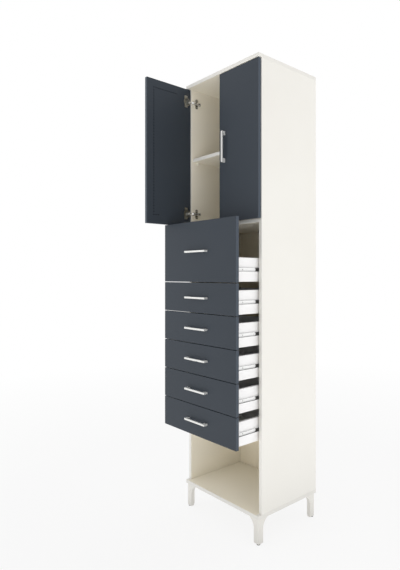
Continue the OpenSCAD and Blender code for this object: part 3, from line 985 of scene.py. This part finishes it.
@dataclass(kw_only=True)
class Door(Front):
    """One door: its panel, its handle and its two hinge cups with their screws."""

    side: str
    flange_end: float = 5.0 * MM
    flange_thickness: float = 1.2 * MM
    flange_offset: float = 5.5 * MM
    flange_screw_reach: float = 23.75 * MM
    screw_radius: float = 3.4 * MM
    screw_height: float = 0.9 * MM

    def flange_screw_spots(self, panel: Board) -> list[Spot]:
        """Works out the two screws of each flange from the door's board and its cups.

        Args:
            panel: The door's board.

        Returns:
            The screws' spots, on the door's inner face at rest.
        """
        out, away = (Axis.X.way, -Axis.Y.way) if panel.thin is Axis.X else (Axis.Y.way, -Axis.X.way)
        cups = Board.of(f"{self.side}_hinge_cups")
        half = self.flange_screw_reach + self.flange_end
        middle = cups.middle + away * self.flange_offset
        flat = middle + out * (panel.high.dot(out) + self.flange_thickness - middle.dot(out))
        heights = (cups.low.z + half, cups.high.z - half)
        return [
            (Vector((flat.x, flat.y, height + way * self.flange_screw_reach)), out)
            for height, way in product(heights, BOTH_WAYS)
        ]

    def build(self) -> None:
        """Builds and dresses the door."""
        body = f"{self.side}_door"
        panel = self.build_board(body, f"{body}_panel")
        self.build_handle(body, Axis.Z, panel)
        # The cup's parts inside the door panel take painted shade.
        paint(f"{self.side}_hinge_cups", self.finishes.cup.material(Axis.Z, panel))
        self.shapes.screw.place(
            f"{self.side}_flange_screws", self.flange_screw_spots(panel), body, Slot.HINGE,
            self.finishes.zinc.material(Axis.Y), Head_Radius=self.screw_radius, Head_Height=self.screw_height,
        )


@dataclass
class DoorDots:
    """The rows of small near-black dots on the inner face of the left door, near its edges, painted as the
    shade line of a fine groove.
    """

    finishes: Finishes
    shapes: Shapes
    dot_radius: float = 2.7 * MM
    from_free_edge: float = 37.0 * MM
    from_top: float = 38.0 * MM
    from_bottom: float = 42.0 * MM
    pitch: float = 13.7 * MM
    row_pitch: float = 12.3 * MM
    top_share: float = 0.6
    bottom_share: float = 0.14

    def spots(self) -> list[Spot]:
        """Works out each dot's place, on the open door's inner face, which faces +X.

        Returns:
            The dots' spots.
        """
        low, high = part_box("left_door_panel")
        column = low.y + self.from_free_edge
        top, bottom = high.z - self.from_top, low.z + self.from_bottom
        count = round((top - bottom) / self.pitch)
        places = [(column, bottom + (top - bottom) * step / count) for step in range(count + 1)]
        for height, share in ((top, self.top_share), (bottom, self.bottom_share)):
            steps = int((high.y - column) * share / self.row_pitch)
            places += [(column + step * self.row_pitch, height) for step in range(1, steps + 1)]
        return [spot(high.x, y, z, 1.0) for y, z in places]

    def build(self) -> None:
        """Sets the dots."""
        groove_shade = self.finishes.groove_shade.material()
        self.shapes.dot.place(
            "left_door_dots", self.spots(), "left_door", Slot.ANTHRACITE, groove_shade, Dot_Radius=self.dot_radius
        )


@dataclass(kw_only=True)
class Drawer(Front):
    """One drawer: its front, its white box, its two runner members and its handle."""

    number: int
    box_radius: float = 0.8 * MM
    stop_start: float = 105.0 * MM
    stop_length: float = 25.0 * MM
    stop_play: float = 0.3 * MM
    stop_arc_steps: int = 8
    stop_crease: float = 40.0
    screw_radius: float = 2.6 * MM
    screw_height: float = 0.7 * MM
    screw_places: tuple[float, ...] = (37.0 * MM, 165.0 * MM, 262.0 * MM)

    @property
    def body(self) -> str:
        """The body's name, which begins its nodes' names."""
        return f"drawer_{self.number}"

    def channel(self) -> tuple[Board, float]:
        """The box of the two channels, and their webs' distance from the cabinet's middle."""
        return Board.of(f"{self.body}_runners"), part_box(f"{self.body}_sides")[1].x + RUNNER_STEEL

    def runner_screw_spots(self) -> list[Spot]:
        """Works out the screws that hold both channels to the drawer's sides.

        Returns:
            The screws' spots.
        """
        channel, web = self.channel()
        return [
            spot(way * web, channel.low.y + back, channel.middle.z, way)
            for way, back in product(BOTH_WAYS, self.screw_places)
        ]

    def build_stops(self) -> None:
        """Builds the black plastic stop blocks in the two channels, each with a hollow front end, whose
        darkness also paints the shade where the channel runs into the cabinet.
        """
        channel, web = self.channel()
        half = (channel.high.z - channel.low.z) / 2 - RUNNER_STEEL - self.stop_play
        start, middle = channel.low.y + self.stop_start, channel.middle.z
        end = start + self.stop_length
        turns = [math.pi * step / self.stop_arc_steps for step in range(self.stop_arc_steps + 1)]
        hollow = [(start + half * math.sin(turn), middle + half * math.cos(turn)) for turn in turns]
        outline = [(end, middle + half), *hollow, (end, middle - half)]
        shape = bmesh.new()
        for way in BOTH_WAYS:
            near, far = (
                [shape.verts.new((way * out, y, z)) for y, z in outline]
                for out in (web, channel.high.x - self.stop_play)
            )
            shape.faces.new(near)
            shape.faces.new(far[::-1])
            for first in range(len(outline)):
                second = (first + 1) % len(outline)
                shape.faces.new((near[first], far[first], far[second], near[second]))
        bmesh.ops.recalc_face_normals(shape, faces=shape.faces)
        name = f"{self.body}_runner_stops"
        mesh = shade(mesh_of(shape, name), self.stop_crease)
        finished(mesh, name, self.body, self.finishes.black_plastic_and_shade.material())

    def build(self) -> None:
        """Builds and dresses the drawer."""
        front = self.build_board(self.body, f"{self.body}_front")
        white = self.finishes.white.material()
        for part in ("sides", "back"):
            eased_copy(f"{self.body}_{part}", self.body, white, self.box_radius)
        paint(f"{self.body}_bottom", white)
        channel, web = self.channel()
        coat = self.finishes.coat.material(web - RUNNER_STEEL, channel.high.x, channel.middle.z)
        paint(f"{self.body}_runners", coat)
        self.build_handle(self.body, Axis.X, front)
        self.build_stops()
        self.shapes.screw.place(
            f"{self.body}_runner_screws", self.runner_screw_spots(), self.body, Slot.RUNNER,
            self.finishes.zinc.material(Axis.Z), Head_Radius=self.screw_radius, Head_Height=self.screw_height,
        )


@dataclass
class Fittings:
    """The hinges' fixed halves and the runners' cabinet members, with the screws and balls that they hold."""

    finishes: Finishes
    shapes: Shapes
    body: str = "carcass"
    edge_radius: float = 0.35 * MM
    plate_thickness: float = 2.6 * MM
    plate_height: float = 46.0 * MM
    plate_screw_reach: float = 16.0 * MM
    plate_screw_radius: float = 3.6 * MM
    arm_base_height: float = 7.0 * MM
    arm_screws: Span = (-9.0 * MM, 11.0 * MM)
    arm_screw_height: float = 0.8 * MM
    runner_lip: float = 9.0 * MM
    runner_screws: tuple[float, ...] = (25.0 * MM, 160.0 * MM, 270.0 * MM)
    runner_screw_height: float = 1.2 * MM
    cage_margin: float = 9.0 * MM
    balls_in_cage: int = 7
    ball_radius: float = 1.5 * MM
    ball_pitch: float = 8.0 * MM
    ball_inset: float = 1.75 * MM

    def wall(self) -> float:
        """Distance of the side panels' inner faces from the cabinet's middle."""
        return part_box("right_side_panel")[0].x

    def hinge_spots(self, height: float, offsets: Sequence[Span]) -> list[Spot]:
        """Works out the same places on the fixed half of every hinge.

        Args:
            height: How far the places stand off the side panel.
            offsets: Each place's distances from the plate's middle in Y and in Z.

        Returns:
            The places, which face the cabinet's middle.
        """
        plates = Board.of("hinge_plates")
        out, half = self.wall() - height, self.plate_height / 2
        levels = (plates.low.z + half, plates.high.z - half)
        return [
            spot(way * out, plates.middle.y + along, level + up, -way)
            for way, level, (along, up) in product(BOTH_WAYS, levels, offsets)
        ]

    def ball_spots(self) -> list[Spot]:
        """Works out the balls in the cages of the cabinet members, which touch the drawers' channels.

        Returns:
            The balls' spots.
        """
        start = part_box("cabinet_runners")[0].y + self.cage_margin
        spots = []
        for number in DRAWERS:
            channel = Board.of(f"drawer_{number}_runners")
            reach = (channel.high.z - channel.low.z) / 2 + self.ball_radius
            out = channel.high.x - self.ball_inset
            for way, up, step in product(BOTH_WAYS, BOTH_WAYS, range(self.balls_in_cage)):
                place = (way * out, start + step * self.ball_pitch, channel.middle.z + up * reach)
                spots.append((Vector(place), Axis.Z.way))
        return spots

    def runner_screw_spots(self) -> list[Spot]:
        """Works out the screws that hold the cabinet members to the side panels.

        Returns:
            The screws' spots.
        """
        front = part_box("cabinet_runners")[0].y
        web = self.wall() - RUNNER_STEEL
        levels = [Board.of(f"drawer_{number}_runners").middle.z for number in DRAWERS]
        return [
            spot(way * web, front + back, level, -way)
            for level, way, back in product(levels, BOTH_WAYS, self.runner_screws)
        ]

    def build(self) -> None:
        """Dresses the fittings and sets their screws and balls."""
        nickel, bright = (finish.material(Axis.Y) for finish in (self.finishes.nickel, self.finishes.bright))
        zinc = self.finishes.zinc.material(Axis.Z)
        eased_copy("hinge_plates", self.body, nickel, self.edge_radius)
        paint("hinge_arms", bright)
        paint("hinge_pins", bright)
        coat = self.finishes.coat.material(self.wall(), self.wall() - self.runner_lip, 0.0)
        paint("cabinet_runners", coat)
        plate_screws = self.hinge_spots(
            self.plate_thickness, [(0.0, way * self.plate_screw_reach) for way in BOTH_WAYS]
        )
        arm_screws = self.hinge_spots(
            self.plate_thickness + self.arm_base_height, [(along, 0.0) for along in self.arm_screws]
        )
        screw = self.shapes.screw
        screw.place(
            "hinge_plate_screws", plate_screws, self.body, Slot.HINGE, zinc,
            Head_Radius=self.plate_screw_radius,
        )
        # The arm screws are near black: painted shade of the hinge's dark hole.
        screw.place(
            "hinge_arm_screws", arm_screws, self.body, Slot.HINGE, self.finishes.shade_dark.material(Axis.Y),
            Head_Height=self.arm_screw_height,
        )
        screw.place(
            "cabinet_runner_screws", self.runner_screw_spots(), self.body, Slot.RUNNER, zinc,
            Head_Height=self.runner_screw_height,
        )
        self.shapes.ball.place(
            "runner_balls", self.ball_spots(), self.body, Slot.RUNNER, self.finishes.bright.material(Axis.X),
            Ball_Radius=self.ball_radius,
        )


@dataclass
class Studio:
    """The camera, the pale floor, the lamp and the white surroundings."""

    camera_place: Triple = (1.660, -1.6136, 1.127)
    camera_turn: float = 47.31
    lens: float = 30.46
    sensor: float = 36.0
    shift: Span = (-0.0671, -0.0178)
    far_clip: float = 60.0
    floor_radius: float = 14.0
    floor_sides: int = 96
    floor_colour: Triple = (0.90, 0.90, 0.90)
    floor_roughness: float = 0.9
    # The floor glows on the object like a lamp, from 0.66 under the cabinet, a painted shadow, to 1.65
    # further out.
    floor_light: Span = (0.66, 1.65)
    floor_light_reach: Span = (0.25, 0.7)
    near_glow: float = 0.80
    near_glow_reach: Span = (1.2, 4.0)
    sky_light: Span = (0.38, 0.94)
    sky_rise: Span = (0.0, 0.8)
    front_way: Triple = (-0.4, -0.92, 0.0)
    front_light: float = 0.05
    front_reach: Span = (0.2, 1.0)
    lamp_place: Triple = (3.9, -1.0, 0.8)
    lamp_aim: Triple = (0.0, 0.0, 1.0)
    lamp_size: float = 2.4
    lamp_power: float = 7.5

    def set_camera(self) -> None:
        """Makes the camera of the photographed view."""
        data = bpy.data.cameras.new("camera")
        data.lens = self.lens
        data.sensor_width = self.sensor
        data.shift_x, data.shift_y = self.shift
        data.clip_end = self.far_clip
        camera = link("camera", data)
        camera.location = self.camera_place
        camera.rotation_euler = (math.radians(90.0), 0.0, math.radians(self.camera_turn))
        bpy.context.scene.camera = camera

    @staticmethod
    def by_ray(sketch: Sketch, soft: Any) -> NodeSocket:
        """Shows full white to the camera, to reflections and through glass.

        Args:
            sketch: The tree to add to.
            soft: Strength for scattered light on the object.

        Returns:
            The strength's socket.
        """
        path = sketch.add("ShaderNodeLightPath").outputs
        seen = sketch.math("ADD", path["Is Camera Ray"], path["Is Transmission Ray"])
        shown = sketch.math("ADD", seen, path["Is Glossy Ray"], clamp=True)
        return sketch.math("ADD", shown, sketch.math("MULTIPLY", sketch.math("SUBTRACT", 1.0, shown), soft))

    def set_world(self) -> None:
        """Makes the white surroundings, which light the object less than they show."""
        world = bpy.data.worlds.new("studio")
        bpy.context.scene.world = world
        world.use_nodes = True
        sketch = Sketch(world.node_tree)
        background = world.node_tree.nodes["Background"].inputs
        way = sketch.add("ShaderNodeTexCoord").outputs["Generated"]
        sky = sketch.remap(sketch.split(way)["Z"], self.sky_rise, self.sky_light)
        ahead = sketch.vector("DOT_PRODUCT", way, self.front_way, output="Value")
        soft = sketch.math("ADD", sky, sketch.remap(ahead, self.front_reach, (0.0, self.front_light)))
        sketch.feed(background["Color"], WHITE)
        sketch.feed(background["Strength"], self.by_ray(sketch, soft))

    def set_floor(self) -> None:
        """Makes the floor, which shows white and keeps the cabinet's cast shadow in its plain share; its glow
        lights the cabinet, with a painted shadow where it is dimmer under the cabinet.
        """
        shape = bmesh.new()
        bmesh.ops.create_circle(shape, cap_ends=True, segments=self.floor_sides, radius=self.floor_radius)
        floor = link("floor", mesh_of(shape, "floor"))
        skin = Skin("floor", Roughness=self.floor_roughness, Specular_IOR_Level=0.0)
        skin.dress(Base_Color=rgba(self.floor_colour))
        distance = skin.vector("LENGTH", skin.place, output="Value")
        # Painted shadow: the floor's glow on the object is dimmer under the cabinet.
        soft = skin.remap(distance, self.floor_light_reach, self.floor_light)
        glow = skin.add("ShaderNodeEmission", {"Color": WHITE, "Strength": self.by_ray(skin, soft)})
        share = skin.remap(distance, self.near_glow_reach, (self.near_glow, 1.0))
        mixed = skin.add("ShaderNodeMixShader", {0: share, 1: skin.shader.outputs[0], 2: glow.outputs[0]})
        skin.feed(skin.tree.nodes["Material Output"].inputs["Surface"], mixed.outputs[0])
        floor.data.materials.append(skin.material)

    def set_lamp(self) -> None:
        """Hangs one broad soft lamp beside the camera."""
        data = bpy.data.lights.new("right_lamp", "AREA")
        data.shape = "SQUARE"
        data.size = self.lamp_size
        data.energy = self.lamp_power
        lamp = link("right_lamp", data)
        lamp.location = self.lamp_place
        lamp.rotation_euler = (Vector(self.lamp_aim) - lamp.location).to_track_quat("-Z", "Y").to_euler()

    def build(self) -> None:
        """Sets up everything round the object but the camera, which comes first."""
        self.set_world()
        self.set_floor()
        self.set_lamp()
        bpy.context.scene.view_settings.view_transform = "Standard"


def main() -> None:
    """Builds the cabinet in order."""
    logging.basicConfig(level=logging.INFO, format="%(name)s: %(message)s")
    studio = Studio()
    studio.set_camera()
    finishes = Finishes()
    shapes = Shapes()
    Carcass(finishes, shapes).build()
    for side in ("left", "right"):
        Door(finishes, shapes, side=side).build()
    DoorDots(finishes, shapes).build()
    for number in DRAWERS:
        Drawer(finishes, shapes, number=number).build()
    Fittings(finishes, shapes).build()
    studio.build()


if __name__ == "__main__":
    main()
